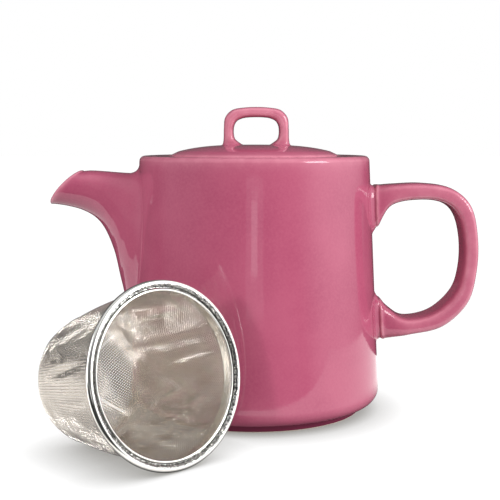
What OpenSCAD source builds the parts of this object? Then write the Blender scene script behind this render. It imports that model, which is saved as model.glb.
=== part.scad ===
// A glazed stoneware teapot with a lift-off lid and a loose wire-gauze infuser basket.
// Sizes are in millimetres. The origin is the middle of the pot's foot ring on the table,
// +Z is up, +X points along the handle and the spout points along -X.

/* [Pot] */
// Height of the flat shoulder above the table
pot_h = 121.4; // [118:0.2:126]
// Radius of the pot just above its rounded bottom edge
base_r = 60; // [56:0.5:64]
// Radius of the pot at its shoulder
shoulder_r = 54.7; // [52:0.1:56]
// Thickness of the pot's side wall
wall_t = 4; // [3:0.5:5]
// Thickness of the pot's floor
floor_t = 5; // [4:0.5:8]
// Radius of the rounded bottom edge
bottom_round = 6.5; // [4:0.5:9]
// Radius of the rounded shoulder edge
shoulder_round = 2.5; // [1.5:0.5:3]
// Outer radius of the foot ring
foot_r = 51; // [48:0.5:52.5]
// Height of the foot ring
foot_h = 3.8; // [2:0.2:4.4]
// Width of the foot ring's face
foot_w = 5; // [4:0.5:8]
// Radius of the port through the wall behind the spout
port_r = 10; // [8:0.5:12]
// Height of the port's middle
port_z = 84; // [80:1:90]

/* [Mouth] */
// Radius of the recess that takes the lid and the infuser's rim
gallery_r = 40.6; // [40.4:0.1:42]
// Depth of that recess below the shoulder
gallery_d = 3; // [2.5:0.5:4]
// Radius of the throat that the infuser hangs in
throat_r = 35.6; // [35.4:0.1:37]
// Height of the throat's straight wall
throat_h = 3; // [2:0.5:4]

/* [Spout and handle] */
// Half the spout's width where it leaves the pot
spout_root_w = 18; // [16:0.5:22]
// Half the spout's width at its mouth
spout_mouth_w = 9; // [7:0.5:11]
// Thickness of the spout's wall
spout_t = 3; // [2.5:0.5:3.5]
// Half the handle's width in the grip
grip_w = 10.5; // [8:0.5:12]
// Half the handle's width where it meets the pot
grip_root_w = 11.5; // [9:0.5:13]

/* [Lid] */
// Radius of the lid's edge
lid_r = 40; // [39:0.1:40.2]
// Thickness of the lid at its edge
lid_edge_t = 3.8; // [3:0.2:5]
// Rise of the dome from the lid's edge to its middle
lid_rise = 4.2; // [3:0.2:6]
// Thickness of the lid at its middle
lid_t = 5; // [4:0.5:6]
// Outer radius of the skirt that centres the lid
skirt_r = 32.5; // [31:0.5:33]
// Depth of the skirt below the lid's seat
skirt_d = 7; // [5:0.5:10]
// Wall thickness of the skirt
skirt_t = 3.5; // [3:0.5:4.5]
// Radius of the steam vent
vent_r = 1.5; // [1:0.25:2]
// Distance of the vent from the lid's middle
vent_x = 24; // [20:1:26]
// Gap between the lid and its seat
seat_gap = 0.2; // [0.1:0.05:0.4]
// Half the width of the lid's loop
loop_w = 7; // [5:0.5:9]
// Distance of the loop's middle from the lid's middle
loop_x = 0.9; // [0:0.1:1]
// Height of the loop's top above the lid's middle
loop_h = 17.8; // [16.8:0.2:18.4]

/* [Infuser] */
// Radius of the rolled edge of the rim
rim_r = 37.9; // [37.5:0.1:40]
// Radius of the rolled bead itself
bead_r = 1.4; // [1.2:0.1:1.6]
// Radius of the gauze basket at its mouth
basket_r = 34.5; // [34:0.1:34.8]
// Radius of the gauze basket above its rounded bottom edge
basket_low_r = 28.3; // [26:0.1:30]
// Outward bulge of the basket's side halfway down
basket_bulge = 0.8; // [0:0.1:1.2]
// Depth of the gauze basket
basket_d = 63.5; // [55:0.5:80]
// Radius of the basket's rounded bottom edge
basket_round = 18; // [12:0.5:20]
// Thickness of the gauze
gauze_t = 0.5; // [0.4:0.1:0.8]
// Depth of the collar that clamps the gauze
collar_d = 5; // [3:0.5:6]
// Where the middle of the basket's mouth lies to the spout's side of the pot's axis
mouth_x = -34.6; // [-40:0.1:-30]
// Where it lies in front of the pot's axis
mouth_y = -99.2; // [-115:0.1:-98]
// Heading of the mouth, measured from +X
mouth_heading = -46.9; // [-60:0.1:-30]

/* [Hidden] */
$fn = 96;

GLAZE = [0.75, 0.38, 0.49];
STEEL = [0.78, 0.76, 0.73];

// The pot's side is a straight taper between its two rounded edges
low_corner = [base_r - bottom_round, foot_h + bottom_round];
top_corner = [shoulder_r - shoulder_round, pot_h - shoulder_round];
taper = atan((base_r - shoulder_r) / (top_corner[1] - low_corner[1]));
edge = [cos(taper), sin(taper)];
side_low = low_corner + bottom_round * edge;
side_top = top_corner + shoulder_round * edge;

seat_z = pot_h - gallery_d + seat_gap;
lid_edge_z = seat_z + lid_edge_t;
lid_top_z = lid_edge_z + lid_rise;
loop_top = lid_top_z + loop_h;
small_round = 1;
inner_round = 5;
lid_round = 2;

// How finely the swept parts and the lid's dome are drawn
ring_sides = 24;
steps = 3;
dome_steps = 10;
side_steps = 8;

// How square the sections of the swept parts are, from 0 for a box to 1 for an ellipse
spout_square = 0.8;
handle_square = 0.5;
loop_square = 0.6;
// How much wider than its middle the spout is at its top
spout_narrow = 0.45;

// Steel sheet of the infuser's rim and collar, and the groove between their two beads
sheet_t = 0.6;
groove_d = 0.3;
rim_skirt_d = 3.4;
inner_bead_r = 0.5;

// The infuser lies tilted so that its rolled rim and its rounded bottom edge rest on the table
table_gap = 0.05;
lie_x = rim_r - bead_r - basket_low_r + basket_round;
lie_z = basket_d - basket_round;
mouth_tilt = acos((basket_round - bead_r) / norm([lie_x, lie_z])) - atan2(lie_z, lie_x);
mouth_z = (rim_r - bead_r) * cos(mouth_tilt) + bead_r + table_gap;

// Each station of a swept part is [upper or outer point, lower or inner point, half-width],
// with the points given as [x, z]. The sweep passes smoothly through all of them.
spout_stations = [
    [[-44, 113], [-46, 30], spout_root_w + 1],
    [[-54, 113], [-58.5, 42], spout_root_w],
    [[-61, 113.2], [-63.5, 60], spout_w(0.72)],
    [[-67, 113.6], [-67.3, 76.6], spout_w(0.5)],
    [[-72, 114], [-73.5, 89.5], spout_w(0.33)],
    [[-77, 114.3], [-83, 95.8], spout_w(0.17)],
    [[-82, 114.4], [-97.6, 98.8], spout_mouth_w]
];

// Half the spout's width at a share of the way from its mouth to its root
function spout_w(share) = spout_mouth_w + share * (spout_root_w - spout_mouth_w);

handle_stations = [
    [[48, 107], [48, 79], grip_root_w + 1],
    [[58, 107.4], [57.5, 86.6], grip_root_w],
    [[66, 108], [65, 97.8], grip_root_w - 1],
    [[80, 108.4], [79, 100.6], grip_w],
    [[93.6, 106], [90.2, 98.8], grip_w],
    [[103, 97.4], [96.4, 92.8], grip_w],
    [[106.4, 82], [99.4, 81], grip_w],
    [[106, 66], [99.2, 67.4], grip_w],
    [[101.9, 50.9], [95.6, 56.2], grip_w],
    [[90, 39.6], [85.4, 46.8], grip_w],
    [[74.8, 35.8], [72.8, 44], grip_w],
    [[66, 34.3], [65, 48.2], grip_root_w - 1],
    [[58, 33.4], [57.5, 56], grip_root_w],
    [[48, 32], [48, 66], grip_root_w + 1]
];

// The left half of the loop, measured from the middle of its top; the right half mirrors it
loop_half = [
    [[-16.6, -20.4], [-4.8, -20.4], loop_w + 1],
    [[-15.9, -17.4], [-7.3, -17.4], loop_w + 0.4],
    [[-15.5, -14.6], [-10.2, -14.8], loop_w],
    [[-15.4, -10.2], [-10.7, -10.2], loop_w],
    [[-14.8, -5], [-9.5, -7], loop_w],
    [[-11.4, -1.4], [-7.2, -5.6], loop_w],
    [[-6.1, -0.3], [-4.5, -5], loop_w]
];
loop_middle = [[0, 0], [0, -4.8], loop_w];

function moved(st, sign) = [
    [loop_x + sign * st[0][0], loop_top + st[0][1]],
    [loop_x + sign * st[1][0], loop_top + st[1][1]],
    st[2]
];

loop_stations = [
    for (st = loop_half) moved(st, 1),
    moved(loop_middle, 1),
    for (st = backwards(loop_half)) moved(st, -1)
];

// Points of an arc about c, from angle a0 to angle a1
function arc(c, r, a0, a1, n = 8) = [
    for (i = [0:n]) c + r * [cos(a0 + (a1 - a0) * i / n), sin(a0 + (a1 - a0) * i / n)]
];

// Smooth curve through b and c, with a and d as their outer neighbours
function smooth(a, b, c, d, t) =
    b + 0.5 * t * (c - a + t * (2 * a - 5 * b + 4 * c - d + t * (3 * (b - c) + d - a)));

function neighbour(list, i) = list[max(0, min(len(list) - 1, i))];

function between(list, i, t) = [
    for (k = [0:2]) smooth(neighbour(list, i - 1)[k], list[i][k],
                           neighbour(list, i + 1)[k], neighbour(list, i + 2)[k], t)
];

function refined(list) = [
    for (i = [0:len(list) - 2], j = [0:steps - 1]) between(list, i, j / steps),
    list[len(list) - 1]
];

function bent(v, power) = sign(v) * pow(abs(v), power);

// One closed ring of a sweep: an upright rounded section between a station's two points,
// drawn in by inset on every side. The share narrow widens its upper end and pinches its lower one
function ring(st, squareness, narrow, inset) =
    let (top = st[0], low = st[1], half = norm(top - low) / 2,
         along = (top - low) / (2 * half), mid = (top + low) / 2)
    [for (i = [0:ring_sides - 1])
        let (c = cos(360 * i / ring_sides), s = sin(360 * i / ring_sides),
             up = mid + along * (half - inset) * bent(c, squareness),
             out = (st[2] - inset) * bent(s, squareness) * (1 + narrow * c / 2))
        [up[0], out, up[1]]];

function band(a, b) = [
    for (i = [0:ring_sides - 1])
        let (j = (i + 1) % ring_sides)
        each [[a + i, a + j, b + j], [a + i, b + j, b + i]]
];

// A closed solid through rings of points, capped flat at both ends
module skin(rings) {
    count = len(rings);
    polyhedron(
        points = [for (r = rings, p = r) p],
        faces = [
            [for (i = [ring_sides - 1:-1:0]) i],
            for (k = [0:count - 2]) each band(k * ring_sides, (k + 1) * ring_sides),
            [for (i = [0:ring_sides - 1]) (count - 1) * ring_sides + i]
        ]
    );
}

// A closed wall through rings of points, where the last ring joins the first one
module closed_skin(rings) {
    count = len(rings);
    polyhedron(
        points = [for (r = rings, p = r) p],
        faces = [for (k = [0:count - 1]) each band(k * ring_sides, (k + 1) % count * ring_sides)]
    );
}

function backwards(list) = [for (i = [len(list) - 1:-1:0]) list[i]];

function swept(stations, squareness, narrow = 0, inset = 0) = [
    for (st = refined(stations)) ring(st, squareness, narrow, inset)
];

// The pot's tapered outside as one solid, which the spout and the handle are cut to
module pot_cone() {
    slope = (side_low[0] - side_top[0]) / (side_top[1] - side_low[1]);
    cylinder(h = pot_h, r1 = side_low[0] + slope * side_low[1],
             r2 = side_top[0] - slope * (pot_h - side_top[1]));
}

module pot_body() {
    inner_z = foot_h + floor_t;
    inner_top = pot_h - gallery_d - throat_h;
    inner_low_corner = [base_r - inner_round, inner_z + inner_round] - wall_t * edge;
    inner_top_corner = [shoulder_r - wall_t - inner_round, inner_top - inner_round];
    color(GLAZE)
    difference() {
        rotate_extrude()
        polygon([
            [0, foot_h], [foot_r - foot_w, foot_h], [foot_r - foot_w, 0], [foot_r, 0],
            each arc(low_corner, bottom_round, -90, taper),
            each arc(top_corner, shoulder_round, taper, 90, 5),
            each arc([gallery_r + small_round, pot_h - small_round], small_round, 90, 180, 4),
            [gallery_r, pot_h - gallery_d], [throat_r, pot_h - gallery_d],
            [throat_r, inner_top],
            each arc(inner_top_corner, inner_round, 90, taper, 5),
            each arc(inner_low_corner, inner_round, taper, -90, 6),
            [0, inner_z]
        ]);
        translate([0, 0, port_z])
        rotate([0, -90, 0])
        cylinder(h = base_r, r = port_r);
    }
}

module spout() {
    color(GLAZE)
    difference() {
        closed_skin([
            each swept(spout_stations, spout_square, spout_narrow),
            each backwards(swept(spout_stations, spout_square, spout_narrow, spout_t))
        ]);
        pot_cone();
    }
}

module handle() {
    color(GLAZE)
    difference() {
        skin(swept(handle_stations, handle_square));
        pot_cone();
    }
}

// Height of the lid's dome at a distance r from its middle
function dome(r) = lid_top_z - lid_rise * pow(r / lid_r, 3);

// The dome's outline, from near the lid's edge to its middle
dome_line = [
    for (k = [dome_steps - 1:-1:0]) [lid_r * k / dome_steps, dome(lid_r * k / dome_steps)]
];

module lid_plate() {
    color(GLAZE)
    difference() {
        rotate_extrude()
        polygon([
            [0, lid_top_z - lid_t], [skirt_r - skirt_t, seat_z + small_round],
            [skirt_r - skirt_t, seat_z - skirt_d], [skirt_r, seat_z - skirt_d],
            [skirt_r, seat_z],
            each arc([lid_r - small_round, seat_z + small_round], small_round, -90, 0, 4),
            each arc([lid_r - lid_round, lid_edge_z - lid_round], lid_round, 0, 60, 4),
            each dome_line
        ]);
        translate([vent_x, 0, seat_z])
        cylinder(h = 3 * lid_t, r = vent_r);
    }
}

module lid_loop() {
    color(GLAZE)
    difference() {
        skin(swept(loop_stations, loop_square));
        rotate_extrude()
        polygon([[0, seat_z], [dome_line[0][0], seat_z], each dome_line]);
    }
}

// Places a part of the infuser, whose mouth faces +Z in its own axes
module as_it_lies() {
    translate([mouth_x, mouth_y, mouth_z])
    rotate([0, 90 - mouth_tilt, mouth_heading])
    children();
}

module infuser_rim() {
    bead_at = rim_r - bead_r;
    color(STEEL)
    as_it_lies()
    rotate_extrude()
    union() {
        translate([bead_at, 0])
        circle(r = bead_r, $fn = 32);
        translate([basket_r, -groove_d - sheet_t])
        square([bead_at - basket_r, sheet_t]);
        translate([basket_r, -rim_skirt_d])
        square([sheet_t, rim_skirt_d - groove_d]);
    }
}

module infuser_collar() {
    inner = basket_r - gauze_t - sheet_t;
    color(STEEL)
    as_it_lies()
    rotate_extrude()
    union() {
        translate([inner, -collar_d])
        square([sheet_t, collar_d]);
        translate([inner + sheet_t / 2, 0])
        circle(r = inner_bead_r, $fn = 24);
    }
}

// A point of the basket's side, drawn in by inset, at a share t of the way below the collar
function side_point(t, inset) = [
    basket_r - inset + (basket_low_r - basket_r) * t + 4 * basket_bulge * t * (1 - t),
    -collar_d - (basket_d - basket_round - collar_d) * t
];

module infuser_mesh() {
    corner = [basket_low_r - basket_round, basket_round - basket_d];
    color(STEEL)
    as_it_lies()
    rotate_extrude()
    polygon([
        [basket_r - gauze_t, -groove_d - sheet_t], [basket_r, -groove_d - sheet_t],
        for (k = [0:side_steps - 1]) side_point(k / side_steps, 0),
        each arc(corner, basket_round, 0, -90, 10),
        [0, -basket_d], [0, -basket_d + gauze_t],
        each arc(corner, basket_round - gauze_t, -90, 0, 10),
        for (k = [side_steps - 1:-1:0]) side_point(k / side_steps, gauze_t)
    ]);
}

pot_body();
spout();
handle();
lid_plate();
lid_loop();
infuser_rim();
infuser_collar();
infuser_mesh();
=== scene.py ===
"""A raspberry-pink glazed teapot with its lid on, and its steel gauze infuser lying in front of it."""

import math

import bmesh
import bpy
import numpy as np
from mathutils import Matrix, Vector, noise


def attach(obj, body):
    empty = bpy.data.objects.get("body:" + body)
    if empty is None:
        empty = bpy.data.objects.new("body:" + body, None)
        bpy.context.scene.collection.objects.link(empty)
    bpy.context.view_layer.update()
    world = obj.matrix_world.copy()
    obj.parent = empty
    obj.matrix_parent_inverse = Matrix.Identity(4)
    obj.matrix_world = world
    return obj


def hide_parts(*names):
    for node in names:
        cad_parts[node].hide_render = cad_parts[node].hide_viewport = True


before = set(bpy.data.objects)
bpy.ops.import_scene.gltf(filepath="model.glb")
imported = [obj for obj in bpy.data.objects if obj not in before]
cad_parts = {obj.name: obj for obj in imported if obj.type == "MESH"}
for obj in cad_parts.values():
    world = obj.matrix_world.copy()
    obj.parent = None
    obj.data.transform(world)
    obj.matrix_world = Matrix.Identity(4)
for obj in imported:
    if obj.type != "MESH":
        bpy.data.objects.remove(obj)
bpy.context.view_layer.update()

MM = 0.001

# ---------------------------------------------------------------- sizes, in millimetres

POT_H, BASE_R, SHOULDER_R, WALL = 121.4, 60.0, 54.7, 4.0
BOTTOM_ROUND, SHOULDER_ROUND, INNER_ROUND = 6.5, 2.5, 5.0
FOOT_R, FOOT_H, FOOT_W, FOOT_ROUND, FLOOR = 51.0, 3.8, 5.0, 0.8, 5.0
GALLERY_R, GALLERY_D, THROAT_R, THROAT_H = 40.6, 3.0, 35.6, 3.0
PORT_R, PORT_Z = 10.0, 84.0
SIDE_LEAN = math.atan((BASE_R - SHOULDER_R) / (POT_H - SHOULDER_ROUND - FOOT_H - BOTTOM_ROUND))

LID_R, LID_EDGE, LID_RISE, LID_T, SEAT_GAP = 40.0, 3.8, 4.2, 5.0, 0.2
SKIRT_R, SKIRT_D, SKIRT_T = 32.5, 7.0, 3.5
VENT_R, VENT_X = 1.5, 24.0
SEAT_Z = POT_H - GALLERY_D + SEAT_GAP
LID_EDGE_Z = SEAT_Z + LID_EDGE
LID_TOP = LID_EDGE_Z + LID_RISE

RIM_R, BEAD_R, BASKET_R, BASKET_LOW_R = 37.9, 1.4, 34.5, 28.3
BASKET_D, BASKET_ROUND, BULGE, GAUZE, COLLAR_D = 63.5, 18.0, 0.8, 0.5, 5.0
SHEET, GROOVE_D, RIM_SKIRT_D, INNER_BEAD = 0.6, 0.3, 3.4, 0.5
MOUTH_X, MOUTH_Y, MOUTH_HEADING, TABLE_GAP = -34.6, -99.2, math.radians(-46.9), 0.05

# The infuser lies tilted so that its rolled rim and its rounded bottom edge rest on the table
LIE_X, LIE_Z = RIM_R - BEAD_R - BASKET_LOW_R + BASKET_ROUND, BASKET_D - BASKET_ROUND
MOUTH_TILT = math.acos((BASKET_ROUND - BEAD_R) / math.hypot(LIE_X, LIE_Z)) - math.atan2(LIE_Z, LIE_X)
MOUTH_AT = np.array([
    MOUTH_X, MOUTH_Y, (RIM_R - BEAD_R) * math.cos(MOUTH_TILT) + BEAD_R + TABLE_GAP
])

# Where a turned outline that closes on the axis stops short of it
AXIS_R = 0.01

# Stations of the swept parts: upper or outer (x, z), lower or inner (x, z), half-width
SPOUT = [
    ((-44, 113), (-46, 30), 19),
    ((-54, 113), (-58.5, 42), 18),
    ((-61, 113.2), (-63.5, 60), 15.5),
    ((-67, 113.6), (-67.3, 76.6), 13.5),
    ((-72, 114), (-73.5, 89.5), 12),
    ((-77, 114.3), (-83, 95.8), 10.5),
    ((-82, 114.4), (-97.6, 98.8), 9),
]
HANDLE = [
    ((48, 107), (48, 79), 12.5),
    ((58, 107.4), (57.5, 86.6), 11.5),
    ((66, 108), (65, 97.8), 10.5),
    ((80, 108.4), (79, 100.6), 10.5),
    ((93.6, 106), (90.2, 98.8), 10.5),
    ((103, 97.4), (96.4, 92.8), 10.5),
    ((106.4, 82), (99.4, 81), 10.5),
    ((106, 66), (99.2, 67.4), 10.5),
    ((101.9, 50.9), (95.6, 56.2), 10.5),
    ((90, 39.6), (85.4, 46.8), 10.5),
    ((74.8, 35.8), (72.8, 44), 10.5),
    ((66, 34.3), (65, 48.2), 10.5),
    ((58, 33.4), (57.5, 56), 11.5),
    ((48, 32), (48, 66), 12.5),
]
LOOP_X, LOOP_TOP = 0.9, LID_TOP + 17.8
LOOP_HALF = [
    ((-16.6, -20.4), (-4.8, -20.4), 8),
    ((-15.9, -17.4), (-7.3, -17.4), 7.4),
    ((-15.5, -14.6), (-10.2, -14.8), 7),
    ((-15.4, -10.2), (-10.7, -10.2), 7),
    ((-14.8, -5), (-9.5, -7), 7),
    ((-11.4, -1.4), (-7.2, -5.6), 7),
    ((-6.1, -0.3), (-4.5, -5), 7),
]
SPOUT_SQUARE, SPOUT_NARROW, HANDLE_SQUARE, LOOP_SQUARE = 0.8, 0.45, 0.5, 0.6
SPOUT_WALL, LIP_OUT, LIP_BOW, LIP_BACK = 3.0, 1.2, 1.3, 0.5

# A luted root: how deep it sinks in, the least steep angle (as a sine) that has the whole fillet,
# and where the seam's ridge and groove lie above the surface, with their half widths
ROOT_SUNK, ROOT_STEEP = 0.06, 0.6
RIDGE_AT, RIDGE_W, GROOVE_AT, GROOVE_W = 3.3, 0.9, 1.9, 0.6


# ---------------------------------------------------------------- shapes

def arc(centre, r, a0, a1, n=10):
    """Points of an arc, from angle a0 to angle a1 in degrees."""
    turn = np.radians(np.linspace(a0, a1, n + 1))
    return [(centre[0] + r * math.cos(t), centre[1] + r * math.sin(t)) for t in turn]


def finer(points, step=2.0):
    """The same outline with no stretch longer than step."""
    out = [points[0]]
    for a, b in zip(points, points[1:]):
        n = max(1, math.ceil(math.dist(a, b) / step))
        out += [
            (a[0] + (b[0] - a[0]) * k / n, a[1] + (b[1] - a[1]) * k / n) for k in range(1, n + 1)
        ]
    return out


def grid_faces(rows, columns, wrap_rows=False):
    """Quads between neighbouring rows of points, where each row closes on itself."""
    k = np.arange(rows if wrap_rows else rows - 1)[:, None]
    i = np.arange(columns)[None, :]
    j, m = (i + 1) % columns, (k + 1) % rows
    quads = np.stack([k * columns + i, m * columns + i, m * columns + j, k * columns + j], -1)
    return quads.reshape(-1, 4)


def revolved(outline, segments=192, closed=False):
    """Points and faces of an outline of (r, z) turned about +Z."""
    turn = np.linspace(0, 2 * math.pi, segments, endpoint=False)
    rz = np.array(outline)
    points = np.stack([
        rz[:, :1] * np.cos(turn), rz[:, :1] * np.sin(turn), np.repeat(rz[:, 1:], segments, 1)
    ], -1)
    return points.reshape(-1, 3), grid_faces(len(rz), segments, closed)


def smooth_path(stations, steps):
    """Catmull-Rom curve through rows of numbers, with its ends held."""
    s = np.array([[*a, *b, w] for a, b, w in stations], float)
    s = np.vstack([s[:1], s, s[-1:]])
    rows = []
    for a, b, c, d in zip(s, s[1:], s[2:], s[3:]):
        for t in np.arange(steps) / steps:
            bend = 2 * a - 5 * b + 4 * c - d + t * (3 * (b - c) + d - a)
            rows.append(b + 0.5 * t * (c - a + t * bend))
    return np.array(rows + [s[-1]])


def rings_of(path, sides, squareness, narrow=0.0, inset=0.0):
    """One closed ring for each row of a path: a rounded section between its two points."""
    turn = np.linspace(0, 2 * math.pi, sides, endpoint=False)
    c, s = np.cos(turn), np.sin(turn)
    bent = lambda v: np.sign(v) * np.abs(v) ** squareness
    top, low, width = path[:, None, 0:2], path[:, None, 2:4], path[:, 4][:, None]
    half = np.linalg.norm(top - low, axis=-1, keepdims=True) / 2
    along, mid = (top - low) / (2 * half), (top + low) / 2
    up = mid + along * (half - inset) * bent(c)[None, :, None]
    out = (width - inset) * bent(s)[None, :] * (1 + narrow * c[None, :] / 2)
    return np.stack([up[..., 0], out, up[..., 1]], -1)


def cone_height(p):
    """How far points stand out of the pot's tapered side, and the side's normal there."""
    c, s = math.cos(SIDE_LEAN), math.sin(SIDE_LEAN)
    low_r, low_z = BASE_R - BOTTOM_ROUND * (1 - c), FOOT_H + BOTTOM_ROUND * (1 + s)
    r = np.linalg.norm(p[..., :2], axis=-1)
    height = (r - low_r) * c + (p[..., 2] - low_z) * s
    normal = np.stack([p[..., 0] / r * c, p[..., 1] / r * c, np.full_like(r, s)], -1)
    return height, normal


def dome(r):
    """Height of the lid's top at a distance from its axis."""
    return LID_TOP - LID_RISE * (r / LID_R) ** 3


def dome_height(p):
    """How far points stand out of the lid's dome, and the dome's normal there."""
    r = np.linalg.norm(p[..., :2], axis=-1)
    slope = 3 * LID_RISE * r * r / LID_R ** 3
    flat = p[..., :2] / np.maximum(r, 1e-6)[..., None]
    normal = np.concatenate([flat * slope[..., None], np.ones_like(r)[..., None]], -1)
    normal /= np.linalg.norm(normal, axis=-1, keepdims=True)
    return (p[..., 2] - dome(r)) * normal[..., 2], normal


def column_at(column, s):
    """Point of a column of points at a fractional place s along it."""
    k = min(int(s), len(column) - 2)
    return column[k] + (column[k + 1] - column[k]) * (s - k)


def rooted(rings, surface, fillet, rows, seam=0.0):
    """Rings whose first end is trimmed at a surface and flared onto it with a fillet.

    With a seam, the root also has the uneven groove and ridge of a luted joint."""
    height, _ = surface(rings)
    centre = rings.mean(1)
    columns = []
    for i in range(rings.shape[1]):
        column, h = rings[:, i], height[:, i]
        k = int(np.argmax((h[1:] > 0) & (h[:-1] <= 0)))
        cut = k + h[k] / (h[k] - h[k + 1])
        meet = column_at(column, cut)
        normal = surface(meet[None])[1][0]
        out = meet - column_at(centre, cut)
        out -= out @ normal * normal
        out /= np.linalg.norm(out)
        ahead = column_at(column, cut + 0.5) - meet
        steep = ahead @ normal / np.linalg.norm(ahead)
        flare = fillet * min(1.0, steep / ROOT_STEEP)
        last = len(column) - 1.0001
        crowded = np.linspace(0, 1, rows) ** 1.7
        spots = cut + (last - cut) * crowded
        points = np.array([column_at(column, v) for v in spots])
        rise = np.maximum(surface(points)[0], 0)
        near = np.clip(rise / max(flare, 1e-6), 0, 1)
        push = flare * (1 - np.sqrt(1 - (1 - near) ** 2)) * 0.9
        if seam:
            broad, fine = noise.noise(Vector(meet * 0.28)), noise.noise(Vector(meet * 0.9))
            ridge = np.exp(-((rise - RIDGE_AT) / RIDGE_W) ** 2)
            groove = np.exp(-((rise - GROOVE_AT) / GROOVE_W) ** 2)
            push = push + seam * (1 + 0.8 * broad + 0.5 * fine) * (ridge - 1.1 * groove)
        points = points + out * push[:, None]
        points[0] -= normal * (surface(points[:1])[0][0] + ROOT_SUNK)
        columns.append(points)
    return np.array(columns).transpose(1, 0, 2)


# ---------------------------------------------------------------- pieces

def piece(name, points, faces, material, body, nodes):
    """A smooth mesh object, given in millimetres, that rides a CAD body and stands for CAD nodes."""
    mesh = bpy.data.meshes.new(name)
    mesh.from_pydata((np.asarray(points) * MM).tolist(), [], [list(map(int, f)) for f in faces])
    mesh.validate()
    obj = bpy.data.objects.new(name, mesh)
    bpy.context.scene.collection.objects.link(obj)
    outward(obj)
    mesh.polygons.foreach_set("use_smooth", np.ones(len(mesh.polygons), bool))
    mesh.materials.append(material)
    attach(obj, body)
    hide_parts(*nodes)
    return obj


def strap(name, rings, surface, fillet, rows, material, body, node, seam=0.0):
    """A glazed piece that stands on a surface at both of its ends."""
    half = len(rings) // 2
    first = rooted(rings[:half + 1], surface, fillet, rows, seam)
    second = rooted(rings[half:][::-1], surface, fillet, rows, seam)
    whole = np.concatenate([first, second[::-1][1:]])
    faces = grid_faces(len(whole), whole.shape[1])
    mark_thin_glaze(piece(name, whole.reshape(-1, 3), faces, material, body, [node]))


def outward(obj):
    """Turns the faces of a closed mesh outwards."""
    bm = bmesh.new()
    bm.from_mesh(obj.data)
    bmesh.ops.remove_doubles(bm, verts=bm.verts, dist=1e-7)
    bmesh.ops.recalc_face_normals(bm, faces=bm.faces)
    bm.to_mesh(obj.data)
    bm.free()


def drill(obj, place, axis, radius, length):
    """Cuts a round hole through a piece, in millimetres."""
    bpy.ops.mesh.primitive_cylinder_add(vertices=64, radius=radius * MM, depth=length * MM,
                                        location=[v * MM for v in place])
    cutter = bpy.context.object
    cutter.rotation_mode = "QUATERNION"
    cutter.rotation_quaternion = Vector(axis).to_track_quat("Z", "Y")
    bpy.context.view_layer.update()
    cut = obj.modifiers.new("hole", "BOOLEAN")
    cut.object, cut.operation, cut.solver = cutter, "DIFFERENCE", "EXACT"
    with bpy.context.temp_override(object=obj, active_object=obj, selected_objects=[obj]):
        bpy.ops.object.modifier_apply(modifier=cut.name)
    bpy.data.objects.remove(cutter, do_unlink=True)


def mark_thin_glaze(obj, low=0.12, high=0.7):
    """Writes how sharply each vertex is rounded outwards, where glaze runs thin, as "thin"."""
    mesh = obj.data
    n = len(mesh.vertices)
    co, no = np.zeros(n * 3), np.zeros(n * 3)
    mesh.vertices.foreach_get("co", co)
    mesh.vertices.foreach_get("normal", no)
    co, no = co.reshape(-1, 3) / MM, no.reshape(-1, 3)
    edges = np.zeros(len(mesh.edges) * 2, int)
    mesh.edges.foreach_get("vertices", edges)
    a, b = edges.reshape(-1, 2).T
    d = co[b] - co[a]
    bend = ((no[b] - no[a]) * d).sum(1) / np.maximum((d * d).sum(1), 1e-4)
    worst = np.full(n, low)
    np.maximum.at(worst, a, bend)
    np.maximum.at(worst, b, bend)
    thin = np.clip((worst - low) / (high - low), 0, 1)
    for _ in range(3):
        total, share = thin.copy(), np.ones(n)
        np.add.at(total, a, thin[b])
        np.add.at(total, b, thin[a])
        np.add.at(share, a, 1)
        np.add.at(share, b, 1)
        thin = total / share
    mark(obj, "thin", thin)


def mark(obj, name, values):
    """Writes one value for each vertex as a named attribute."""
    layer = obj.data.attributes.new(name, "FLOAT", "POINT")
    layer.data.foreach_set("value", np.asarray(values, np.float32))


# ---------------------------------------------------------------- materials

class Nodes:
    """Short calls for building a material's or a world's nodes."""

    def __init__(self, owner):
        owner.use_nodes = True
        self.tree = owner.node_tree

    def add(self, kind, **values):
        node = self.tree.nodes.new("ShaderNode" + kind)
        for key, value in values.items():
            setattr(node, key, value)
        return node

    def link(self, a, b):
        self.tree.links.new(a, b)

    def feed(self, value, socket):
        """Gives a socket a number, a colour or another socket's output."""
        if hasattr(value, "is_linked"):
            self.link(value, socket)
        else:
            socket.default_value = (*value, 1) if isinstance(value, tuple) else value

    def spread(self, value, from_low, from_high, to_low=0.0, to_high=1.0, **how):
        """A value carried from one range to another, and held at that range's ends."""
        node = self.add("MapRange", **how)
        ends = {"From Min": from_low, "From Max": from_high, "To Min": to_low, "To Max": to_high}
        for key, end in ends.items():
            node.inputs[key].default_value = end
        self.link(value, node.inputs["Value"])
        return node.outputs["Result"]

    def mix(self, factor, a, b):
        """Colour a where the factor is 0, and colour b where it is 1."""
        node = self.add("Mix", data_type="RGBA")
        for value, socket in ((factor, node.inputs[0]), (a, node.inputs[6]), (b, node.inputs[7])):
            self.feed(value, socket)
        return node.outputs[2]

    def maths(self, how, *values):
        node = self.add("Math", operation=how)
        for value, socket in zip(values, node.inputs):
            self.feed(value, socket)
        return node.outputs[0]


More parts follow.
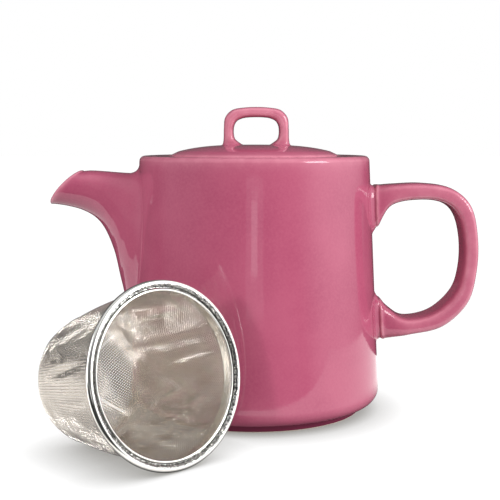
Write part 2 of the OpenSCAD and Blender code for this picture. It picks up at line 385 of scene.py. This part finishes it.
class Surface(Nodes):
    """A node material, with its Principled shader."""

    def __init__(self, name):
        self.material = bpy.data.materials.new(name)
        super().__init__(self.material)
        self.shader = self.tree.nodes["Principled BSDF"]
        self.place = self.add("TexCoord").outputs["Object"]

    def set(self, **values):
        """Gives the shader's sockets their values; a name's underlines stand for spaces."""
        for name, value in values.items():
            self.feed(value, self.shader.inputs[name.replace("_", " ")])

    def attribute(self, name):
        return self.add("Attribute", attribute_name=name).outputs["Fac"]

    def noise(self, scale, detail=2.0, rough=0.5):
        node = self.add("TexNoise")
        node.inputs["Scale"].default_value = scale
        node.inputs["Detail"].default_value = detail
        node.inputs["Roughness"].default_value = rough
        self.link(self.place, node.inputs["Vector"])
        return node.outputs["Fac"]

    def open_air(self, reach, samples, low, high):
        """How open a place is, from 0 beside other things to 1 where nothing is within reach."""
        near = self.add("AmbientOcclusion", samples=samples)
        near.inputs["Distance"].default_value = reach
        return self.spread(near.outputs["AO"], low, high)

    def bump(self, height, distance, strength=1.0, under=None):
        node = self.add("Bump")
        node.inputs["Distance"].default_value = distance
        node.inputs["Strength"].default_value = strength
        self.link(height, node.inputs["Height"])
        if under:
            self.link(under, node.inputs["Normal"])
        return node.outputs["Normal"]


def glaze():
    """Raspberry-pink glaze: paler where it runs thin, darkened at the foot by painted shade, faintly
    mottled.
    """
    m = Surface("glaze")
    deep, mid, warm = (0.40, 0.075, 0.145), (0.46, 0.10, 0.175), (0.50, 0.125, 0.20)
    pale, dark = (0.74, 0.29, 0.37), (0.17, 0.028, 0.06)
    cloud = m.spread(m.noise(28, 3, 0.55), 0.35, 0.65)
    speckle = m.spread(m.noise(900, 2, 0.6), 0.35, 0.7, 0.0, 0.35)
    colour = m.mix(cloud, deep, mid)
    colour = m.mix(speckle, colour, warm)
    uneven = m.spread(m.noise(240, 2), 0.25, 0.75, 0.55, 1.0)
    colour = m.mix(m.maths("MULTIPLY", m.attribute("thin"), uneven), colour, pale)
    ripple = m.bump(m.noise(55, 2, 0.4), 0.0004, 0.25)
    # Painted shade: the colour turns dark at the foot, where the pot's own overhang shades it
    m.set(Base_Color=m.mix(m.attribute("painted_foot_shade"), colour, dark),
          Roughness=m.spread(m.noise(60, 3), 0.3, 0.7, 0.04, 0.08),
          IOR=1.5, Specular_IOR_Level=0.5,
          Normal=m.bump(m.noise(700, 2, 0.5), 0.00005, 0.12, ripple))
    return m.material


def bare_foot():
    """Unglazed stoneware of the foot ring."""
    m = Surface("bare_stoneware")
    grain = m.noise(1500, 3, 0.7)
    m.set(Base_Color=m.mix(m.spread(grain, 0.3, 0.7), (0.55, 0.47, 0.38), (0.68, 0.60, 0.50)),
          Roughness=0.85, Normal=m.bump(grain, 0.0001, 0.5))
    return m.material


def steel(name, colour, rough, scale, grain, depth, where=None):
    """Stainless steel with a fine grain, or pitted where a named mesh attribute says so."""
    m = Surface(name)
    speck = m.noise(scale, 3, 0.65)
    patch = m.spread(m.noise(90, 2), 0.3, 0.7, -0.05, 0.05)
    pitted = m.attribute(where) if where else 1.0
    shade, low = (0.12, 0.45) if where else (0.75, 0.38)
    dark = m.mix(pitted, colour, tuple(c * shade for c in colour))
    rough_speck = m.spread(speck, 0.3, 0.7, rough - grain, rough + grain)
    m.set(Base_Color=m.mix(m.spread(speck, low, low + 0.16), dark, colour), Metallic=1.0,
          Roughness=m.maths("ADD", rough_speck, patch),
          Normal=m.bump(m.maths("MULTIPLY", speck, pitted), depth, 0.7))
    return m.material


# ---------------------------------------------------------------- pot and lid

def make_pot(material):
    lean, inward = math.degrees(SIDE_LEAN), (math.cos(SIDE_LEAN), math.sin(SIDE_LEAN))
    inner_z, inner_top = FOOT_H + FLOOR, POT_H - GALLERY_D - THROAT_H
    low_inner = (BASE_R - INNER_ROUND - WALL * inward[0], inner_z + INNER_ROUND - WALL * inward[1])
    outline = finer([
        (AXIS_R, FOOT_H), *arc((FOOT_R - FOOT_W - 1, FOOT_H - 1), 1, 90, 0, 4),
        *arc((FOOT_R - FOOT_W + FOOT_ROUND, FOOT_ROUND), FOOT_ROUND, 180, 270, 4),
        *arc((FOOT_R - FOOT_ROUND, FOOT_ROUND), FOOT_ROUND, -90, 0, 4),
        *arc((FOOT_R + FOOT_ROUND, FOOT_H - FOOT_ROUND), FOOT_ROUND, 180, 90, 4),
        *arc((BASE_R - BOTTOM_ROUND, FOOT_H + BOTTOM_ROUND), BOTTOM_ROUND, -90, lean, 16),
        *arc((SHOULDER_R - SHOULDER_ROUND, POT_H - SHOULDER_ROUND), SHOULDER_ROUND, lean, 90, 12),
        *arc((GALLERY_R + 1, POT_H - 1), 1, 90, 180, 8),
        *arc((GALLERY_R - 0.5, POT_H - GALLERY_D + 0.5), 0.5, 0, -90, 4),
        *arc((THROAT_R + 0.8, POT_H - GALLERY_D - 0.8), 0.8, 90, 180, 6),
        (THROAT_R, inner_top + 0.6), (THROAT_R + 0.6, inner_top),
        *arc((SHOULDER_R - WALL - INNER_ROUND, inner_top - INNER_ROUND), INNER_ROUND, 90, lean, 8),
        *arc(low_inner, INNER_ROUND, lean, -90, 8),
        (AXIS_R, inner_z),
    ])
    points, faces = revolved(outline)
    pot = piece("pot_body_glazed", points, faces, material, "pot", ["pot_body"])
    drill(pot, (-BASE_R + WALL, 0, PORT_Z), (1, 0, 0), PORT_R, 3 * WALL)
    mark_thin_glaze(pot)
    height = np.array([vertex.co.z for vertex in pot.data.vertices]) / MM
    # Painted shade: a dark band at the foot, strongest next to the table
    mark(pot, "painted_foot_shade", np.clip((FOOT_H + 0.6 - height) / 0.8, 0, 1))
    pot.data.materials.append(bare_foot())
    for face in pot.data.polygons:
        if face.center.z < 0.5 * MM:
            face.material_index = 1


def make_spout(material, sides=72):
    path = smooth_path(SPOUT, 12)
    outside = rooted(rings_of(path, sides, SPOUT_SQUARE, SPOUT_NARROW), cone_height, 5.0, 90)
    inside = rings_of(path, sides, SPOUT_SQUARE, SPOUT_NARROW, SPOUT_WALL)
    (top_x, top_z), (low_x, low_z), _ = SPOUT[-1]
    top, down = np.array([top_x, 0, top_z]), np.array([low_x - top_x, 0, low_z - top_z], float)
    long = np.linalg.norm(down)
    facing = np.array([down[2], 0, -down[0]]) / long

    def arched(rings):
        """The same rings with the mouth's end set back and bowed outwards between its ends."""
        share = np.clip(1 - np.arange(len(rings))[::-1] / 8, 0, 1)[:, None]
        t = np.clip((rings - top) @ down / long ** 2, 0, 1)
        return rings + ((4 * t * (1 - t) * LIP_BOW - LIP_BACK) * share)[..., None] * facing

    outside, inside = arched(outside), arched(inside)
    middle, half = (outside[-1] + inside[-1]) / 2, (outside[-1] - inside[-1]) / 2
    lip = [
        middle + half * math.cos(turn) + facing * math.sin(turn) * LIP_OUT
        for turn in np.radians(np.linspace(0, 180, 11))[1:-1]
    ]
    # The channel ends just under the pot's outer surface, round the port
    height, normal = cone_height(inside)
    deep = -1 - height
    inside = inside + normal * np.where(deep > 0, deep, 0)[..., None]
    start = int(np.argmax((deep < 0).any(1)))
    rings = np.concatenate([outside, np.array(lip), inside[start:][::-1]])
    mark_thin_glaze(piece("spout_glazed", rings.reshape(-1, 3), grid_faces(len(rings), sides), material,
                          "pot", ["spout"]))


def make_handle(material):
    rings = rings_of(smooth_path(HANDLE, 10), 48, HANDLE_SQUARE)
    strap("handle_glazed", rings, cone_height, 1.6, 110, material, "pot", "handle", seam=0.4)


def make_lid(material):
    skirt_in, skirt_low = SKIRT_R - SKIRT_T, SEAT_Z - SKIRT_D
    outline = finer([
        (AXIS_R, LID_TOP - LID_T), (skirt_in - 1, SEAT_Z + 1.2), (skirt_in, SEAT_Z + 0.2),
        *arc((skirt_in + 1, skirt_low + 1), 1, 180, 270, 6),
        *arc((SKIRT_R - 1, skirt_low + 1), 1, -90, 0, 6),
        *arc((SKIRT_R + 0.6, SEAT_Z - 0.6), 0.6, 180, 90, 4),
        *arc((LID_R - 1, SEAT_Z + 1), 1, -90, 0, 6),
        *arc((LID_R - 2, LID_EDGE_Z - 2), 2, 0, 66, 8),
        *[(LID_R * k / 20, dome(LID_R * k / 20)) for k in range(18, 0, -1)],
        (AXIS_R, LID_TOP),
    ], 1.5)
    points, faces = revolved(outline)
    lid = piece("lid_plate_glazed", points, faces, material, "lid", ["lid_plate"])
    drill(lid, (VENT_X, 0, LID_TOP - LID_T / 2), (0, 0, 1), VENT_R, 3 * LID_T)
    mark_thin_glaze(lid)


def make_loop(material):
    left, right = [
        [((LOOP_X + sign * a[0], LOOP_TOP + a[1]), (LOOP_X + sign * b[0], LOOP_TOP + b[1]), w)
         for a, b, w in LOOP_HALF]
        for sign in (1, -1)
    ]
    middle = [((LOOP_X, LOOP_TOP), (LOOP_X, LOOP_TOP - 4.8), 7)]
    rings = rings_of(smooth_path(left + middle + right[::-1], 10), 40, LOOP_SQUARE)
    strap("lid_loop_glazed", rings, dome_height, 1.0, 60, material, "lid", "lid_loop")


# ---------------------------------------------------------------- infuser

def as_it_lies(points):
    """Carries points from the infuser's own axes, mouth facing +Z, to where it lies.

    The mouth's heading turns about +Z from +X, and its tilt is how far it faces above level."""
    up, level = math.sin(MOUTH_TILT), math.cos(MOUTH_TILT)
    c, s = math.cos(MOUTH_HEADING), math.sin(MOUTH_HEADING)
    tilt = np.array([[up, 0, level], [0, 1, 0], [-level, 0, up]])
    head = np.array([[c, -s, 0], [s, c, 0], [0, 0, 1]])
    return np.asarray(points) @ (head @ tilt).T + MOUTH_AT


def steel_ring(name, outline, material, node):
    """A ring of the infuser from its closed outline, and its points in the infuser's own axes."""
    points, faces = revolved(finer(outline + outline[:1], 0.5)[:-1], 256, closed=True)
    return piece(name, as_it_lies(points), faces, material, "infuser", [node]), points


def make_rim(material):
    bead, outer = RIM_R - BEAD_R, BASKET_R + SHEET
    rim, points = steel_ring("infuser_rim_rolled", [
        *arc((bead, 0), BEAD_R, -108, 214, 28),
        (outer + 0.25, -GROOVE_D - SHEET), (outer, -GROOVE_D - SHEET - 0.3),
        (outer, -RIM_SKIRT_D), (BASKET_R, -RIM_SKIRT_D),
        (BASKET_R, -GROOVE_D - 0.1), (BASKET_R + 0.1, -GROOVE_D),
    ], material, "infuser_rim")
    radius = np.hypot(points[:, 0], points[:, 1])
    mark(rim, "grain", np.clip((bead - 0.1 - radius) / 0.4, 0, 1) * (points[:, 2] > -1.5))
    return rim


def make_collar(material):
    inner = BASKET_R - GAUZE - SHEET
    collar, _ = steel_ring("infuser_collar_ring", [
        *arc((inner + SHEET / 2, 0), INNER_BEAD, -70, 250, 16),
        (inner, -0.6), (inner, -COLLAR_D), (inner + SHEET, -COLLAR_D), (inner + SHEET, -0.6),
    ], material, "infuser_collar")
    return collar


def basket_profile(count=400):
    """Middle of the gauze: distances from the middle of the bottom, with the radius and depth there."""
    inset = GAUZE / 2 + 0.05
    flat = [(0.0, BASKET_D - inset), (BASKET_LOW_R - BASKET_ROUND, BASKET_D - inset)]
    corner = [
        (BASKET_LOW_R - BASKET_ROUND + (BASKET_ROUND - inset) * math.sin(t),
         BASKET_D - BASKET_ROUND + (BASKET_ROUND - inset) * math.cos(t))
        for t in np.radians(np.linspace(0, 81, 24))
    ]
    side_d = BASKET_D - BASKET_ROUND - COLLAR_D
    side = [
        (BASKET_R - inset + (BASKET_LOW_R - BASKET_R) * t + 4 * BULGE * t * (1 - t),
         COLLAR_D + side_d * t)
        for t in np.linspace(1, 0, 24)
    ]
    line = np.array(flat + corner[1:] + side + [(BASKET_R - inset, 1.2)])
    run = np.concatenate([[0], np.cumsum(np.linalg.norm(np.diff(line, axis=0), axis=1))])
    place = np.linspace(0, run[-1], count)
    return place, np.interp(place, run, line[:, 0]), np.interp(place, run, line[:, 1])


PLACE, RADIUS, DEPTH = basket_profile()

# Half the crossings in a quarter turn, half those up the side, and how far the bottom's grid reaches
QUARTER, RISE, CAP_RUN = 40, 45, 30.0


def gauze_places(key):
    """Distance from the middle of the bottom, and heading, of a crossing of two wires.

    Crossings on the side are ("side", a, b), with a round the basket and b up it. Those on the bottom
    are ("cap", u, v), on a square grid whose edge is a quarter of the way round for each side."""
    kind, a, b = key
    side = 2 * QUARTER
    if kind == "side":
        run = CAP_RUN + (PLACE[-1] - CAP_RUN) * b / (2 * RISE)
        return run, -0.75 * math.pi + 0.5 * math.pi * a / side
    x, y = (math.sqrt(2) * math.sin(math.pi / 4 * (2 * v / side - 1)) for v in (a, b))
    x, y = x * math.sqrt(1 - y * y / 2), y * math.sqrt(1 - x * x / 2)
    r = math.hypot(x, y)
    return CAP_RUN * (0.82 * r + 0.18 * r ** 3), math.atan2(y, x)


def gauze_wire(start):
    """The crossings that one wire passes, down the side, across the bottom and up the side again."""
    side = 2 * QUARTER
    a, b = start, 2 * RISE
    passed = []
    while b > 0:
        passed.append((("side", a % (4 * side), b), (-1) ** b))
        a, b = a - 1, b - 1
    a %= 4 * side
    quarter, along = divmod(a, side)
    u, v, du, dv = [
        (along, 0, -1, 1), (side, along, -1, -1), (side - along, side, 1, -1), (0, side - along, 1, 1)
    ][quarter]
    sign = 1 if du != dv else -1
    while True:
        passed.append((("cap", u, v), sign * (-1) ** v))
        u, v = u + du, v + dv
        if not (0 < u < side and 0 < v < side):
            break
    at_corner = not (0 <= u <= side and 0 <= v <= side)
    if at_corner:
        a = quarter * side
    elif v == 0 and dv < 0:
        a = u
    elif u == side and du > 0:
        a = side + v
    elif v == side and dv > 0:
        a = 3 * side - u
    else:
        a = 4 * side - v
    for b in range(int(at_corner), 2 * RISE + 1):
        passed.append((("side", (a - b) % (4 * side), b), -(-1) ** b))
    return passed


# Creases pressed into the gauze: turn (degrees), depth, slant (degrees), half length, half width, push
CREASES = [
    (-103, 26, 6, 11, 2.0, 0.9), (-80, 20, 3, 13, 2.0, 0.8), (-118, 34, -20, 8, 3.0, 0.5),
    (-62, 30, 12, 9, 3.0, 0.6), (-48, 20, 0, 14, 2.5, 0.5), (-128, 16, 10, 8, 2.5, 0.4),
    (112, 29, 0, 22, 2.6, 1.1), (99, 24, -7, 16, 2.2, 0.8), (86, 12, 14, 8, 2.0, 0.7),
    (78, 40, 26, 6, 1.8, 0.9), (68, 34, -30, 6, 1.8, 0.9), (76, 26, 34, 6, 1.8, 0.9),
    (64, 20, -24, 7, 1.8, 0.8), (52, 32, 8, 12, 2.4, 0.9), (36, 40, -6, 12, 3.0, 0.8),
    (24, 22, 8, 12, 3.0, 0.7), (142, 30, 4, 16, 3.0, 0.6), (60, 50, 60, 9, 2.0, 0.7),
    (110, 54, 70, 9, 2.0, 0.6),
]


def dents(p):
    """Inward push of the gauze, in millimetres, at places in the infuser's own axes."""
    turn, depth = np.degrees(np.arctan2(p[:, 1], p[:, 0])), -p[:, 2]
    push = np.array([
        0.9 * noise.noise(Vector(q * 0.07)) + 0.35 * noise.noise(Vector(q * 0.16 + 9.0)) for q in p
    ]) * (0.75 + 0.25 * np.sin(np.radians(turn)))
    for middle, deep, slant, long, wide, amount in CREASES:
        sideways = ((turn - middle + 180) % 360 - 180) * math.radians(1) * BASKET_R
        down = depth - deep
        c, s = math.cos(math.radians(slant)), math.sin(math.radians(slant))
        across, along = sideways * c - down * s, sideways * s + down * c
        push = push + amount * np.exp(-(across / wide) ** 2 - (along / long) ** 2)
    return np.maximum(push, 0) * np.clip((depth - COLLAR_D) / 7, 0, 1)


def make_gauze(material, width=0.6, thickness=0.2, crimp=0.06):
    """The basket's woven, flattened wires, in four bundles."""
    step = 0.3
    r_of = lambda s: np.interp(s, PLACE, RADIUS)
    d_of = lambda s: np.interp(s, PLACE, DEPTH)
    section = [
        (math.cos(t) * thickness / 2, math.sin(t) * width / 2)
        for t in np.radians([0, 65, 115, 180, 245, 295])
    ]
    sides, bundles = len(section), []
    for bundle in range(4):
        points, faces, base = [], [], 0
        for start in range(bundle * 2 * QUARTER, (bundle + 1) * 2 * QUARTER, 2):
            passed = gauze_wire(start)
            spots = np.array([gauze_places(key) for key, _ in passed])
            over = np.array([sign for _, sign in passed], float)
            s, turn = spots.T
            r, d = r_of(s), d_of(s)
            slope_r, slope_d = r_of(s + step) - r_of(s - step), d_of(s + step) - d_of(s - step)
            length = np.hypot(slope_r, slope_d)
            nr, nd = -slope_d / length, slope_r / length
            heading = np.stack([np.cos(turn), np.sin(turn)], -1)
            normal = np.concatenate([heading * nr[:, None], -nd[:, None]], 1)
            centre = np.concatenate([heading * r[:, None], -d[:, None]], 1)
            centre += normal * (over * crimp - dents(centre) * np.sign(nr.sum()))[:, None]
            along = np.gradient(centre, axis=0)
            along /= np.linalg.norm(along, axis=1, keepdims=True)
            across = np.cross(along, normal)
            across /= np.linalg.norm(across, axis=1, keepdims=True)
            lift = np.cross(across, along)
            rings = np.stack([centre + lift * up + across * out for up, out in section], 1)
            points.append(rings.reshape(-1, 3))
            faces.append(grid_faces(len(rings), sides) + base)
            base += len(rings) * sides
        name = f"infuser_gauze_{bundle + 1}"
        bundles.append(piece(name, as_it_lies(np.concatenate(points)), np.concatenate(faces), material,
                             "infuser", ["infuser_mesh"]))
    return bundles


# ---------------------------------------------------------------- studio

def make_camera():
    tilt_down = 6.11
    data = bpy.data.cameras.new("camera")
    data.lens, data.sensor_width = 77.1, 36.0
    data.clip_start, data.clip_end = 0.01, 50
    camera = bpy.data.objects.new("camera", data)
    camera.location = (-0.0021, -0.5134, 0.131)
    camera.rotation_euler = (math.radians(90 - tilt_down), 0, 0)
    bpy.context.scene.collection.objects.link(camera)
    bpy.context.scene.camera = camera


def make_floor():
    """A pale floor for the camera, whose shading is mostly soft contact shadow."""
    m = Surface("pale_floor")
    shadow, lit = (0.25, 0.24, 0.22), (1.02, 1.02, 1.02)
    m.set(Base_Color=(0.06, 0.06, 0.06), Roughness=0.9, Specular_IOR_Level=0.0,
          Emission_Color=m.mix(m.open_air(0.024, 16, 0.0, 0.92), shadow, lit), Emission_Strength=1.0)
    bpy.ops.mesh.primitive_plane_add(size=12, location=(0, 0, -0.0001))
    floor = bpy.context.object
    floor.name = "floor"
    floor.data.materials.append(m.material)
    floor.visible_diffuse = floor.visible_glossy = floor.visible_shadow = False


def make_card(name, x, y, z, colour, strength):
    """A level card just under the table's surface, seen only in reflections, with painted shadow
    darkening it beside things.
    """
    m = Surface(name)
    emission = m.add("Emission")
    # Painted shadow: the glowing card turns dark where things stand close to it
    m.feed(m.mix(m.open_air(0.05, 8, 0.55, 1.0), (0.03, 0.03, 0.03), colour), emission.inputs["Color"])
    m.feed(strength, emission.inputs["Strength"])
    m.link(emission.outputs[0], m.tree.nodes["Material Output"].inputs["Surface"])
    mesh = bpy.data.meshes.new(name)
    corners = [(x[0], y[0], z), (x[1], y[0], z), (x[1], y[1], z), (x[0], y[1], z)]
    mesh.from_pydata(corners, [], [(0, 1, 2, 3)])
    mesh.materials.append(m.material)
    card = bpy.data.objects.new(name, mesh)
    bpy.context.scene.collection.objects.link(card)
    card.visible_camera = card.visible_diffuse = card.visible_shadow = False


def area_light(name, place, target, size, power, glossy=True, diffuse=True, only=None):
    """A rectangular light. With only, it acts on those pieces alone and casts no shadow."""
    data = bpy.data.lights.new(name, "AREA")
    data.shape, data.size, data.size_y = "RECTANGLE", *size
    data.energy = power
    light = bpy.data.objects.new(name, data)
    light.location = place
    light.rotation_mode = "QUATERNION"
    light.rotation_quaternion = (Vector(place) - Vector(target)).to_track_quat("Z", "Y")
    light.visible_camera = False
    light.visible_glossy, light.visible_diffuse = glossy, diffuse
    bpy.context.scene.collection.objects.link(light)
    if only:
        data.use_shadow = False
        group = bpy.data.collections.new(name + "_on")
        for obj in only:
            group.objects.link(obj)
        light.light_linking.receiver_collection = group


def make_world():
    """White behind the object, and a soft room for what lights it and what it mirrors."""
    world = bpy.data.worlds.new("studio")
    bpy.context.scene.world = world
    m = Nodes(world)
    heading = m.add("TexCoord").outputs["Generated"]
    path = m.add("LightPath")

    def towards(direction, low, high):
        """A soft patch of sky round a direction, from 0 to 1."""
        dot = m.add("VectorMath", operation="DOT_PRODUCT")
        m.link(heading, dot.inputs[0])
        dot.inputs[1].default_value = Vector(direction).normalized()
        return m.spread(dot.outputs["Value"], low, high, interpolation_type="SMOOTHSTEP")

    def sky(base, patches):
        """A base brightness with patches of (direction, low, high, brightness) added to it."""
        total = base
        for direction, low, high, amount in patches:
            total = m.maths("MULTIPLY_ADD", towards(direction, low, high), amount, total)
        return m.maths("MAXIMUM", total, 0.03)

    def choose(kind_of_ray, otherwise, then):
        """One brightness for a kind of ray, and another for the rest."""
        node = m.add("Mix", data_type="FLOAT")
        m.link(path.outputs[kind_of_ray], node.inputs[0])
        m.feed(otherwise, node.inputs[2])
        m.feed(then, node.inputs[3])
        return node.outputs[0]

    fill = sky(0.30, [
        ((0.95, -0.4, 0.3), -0.2, 1.0, 0.85), ((-0.95, -0.3, 0.3), -0.2, 1.0, 0.50),
        ((0, 0, -1), 0.0, 0.8, -0.26), ((0, 0, 1), 0.3, 1.0, -0.2), ((-0.2, 0.95, 0.2), 0.0, 1.0, 0.4),
    ])
    mirror = sky(0.75, [
        ((0, -1, 0), 0.35, 1.0, -0.65), ((0, 1, 0), -0.1, 0.6, -0.65),
        ((-1, 0.1, 0.1), 0.3, 1.0, -0.25), ((1, 0, 0.1), 0.6, 1.0, 0.9),
        ((0, 0, -1), -0.05, 0.2, -0.7),
    ])
    white = 1.0
    background = m.tree.nodes["Background"]
    background.inputs["Color"].default_value = (1, 1, 1, 1)
    m.feed(choose("Is Camera Ray", choose("Is Glossy Ray", fill, mirror), white),
           background.inputs["Strength"])
    m.link(background.outputs[0], m.tree.nodes["World Output"].inputs["Surface"])


bpy.context.scene.view_settings.view_transform = "Standard"
make_camera()
make_floor()
make_world()
make_card("table_glow", (-0.6, 0.32), (-0.14, 0.12), -0.0004, (1, 0.98, 0.96), 1.5)
area_light("key", (0.9, -0.45, 0.5), (0, 0, 0.06), (0.45, 0.45), 6.5)
area_light("key_left", (-0.56, -0.75, 0.32), (0, 0, 0.06), (0.1, 0.1), 2.1, glossy=False)
area_light("streak", (0.0, -1.75, 0.09), (0, 0, 0.09), (0.17, 0.16), 0.12, diffuse=False)
area_light("glow", (0.0, -1.8, 0.07), (0, 0, 0.09), (0.5, 0.3), 0.25, diffuse=False)

pink = glaze()
make_pot(pink)
make_spout(pink)
make_handle(pink)
make_lid(pink)
make_loop(pink)

bright = steel("rolled_steel", (0.93, 0.92, 0.89), 0.16, 1500, 0.06, 0.0003, "grain")
wire = steel("gauze_wire", (0.79, 0.735, 0.67), 0.17, 3000, 0.05, 0.00003)
ring = [make_rim(bright), make_collar(bright)]
infuser = make_gauze(wire)

# Lights seen only as glints in the infuser: name, place from its mouth, size, power, what it acts on
middle = MOUTH_AT * MM
for name, away, size, power, only in [
    ("infuser_right", (0.68, -0.62, 0.4), (0.12, 0.3), 0.8, infuser),
    ("infuser_back", (-0.62, 0.69, 0.37), (0.1, 0.1), 1.2, infuser),
    ("rim_left", (-0.9, -0.2, 0.3), (0.7, 0.7), 3, ring),
    ("infuser_left", (-0.7, 0.5, 0.6), (0.7, 0.7), 0.7, infuser),
    ("infuser_side", (-0.94, 0.3, 0.17), (0.12, 0.12), 0.4, infuser),
    ("infuser_under", (-0.48, 0.47, -0.74), (0.1, 0.1), 5, infuser),
]:
    area_light(name, middle + away, middle, size, power, diffuse=False, only=only)
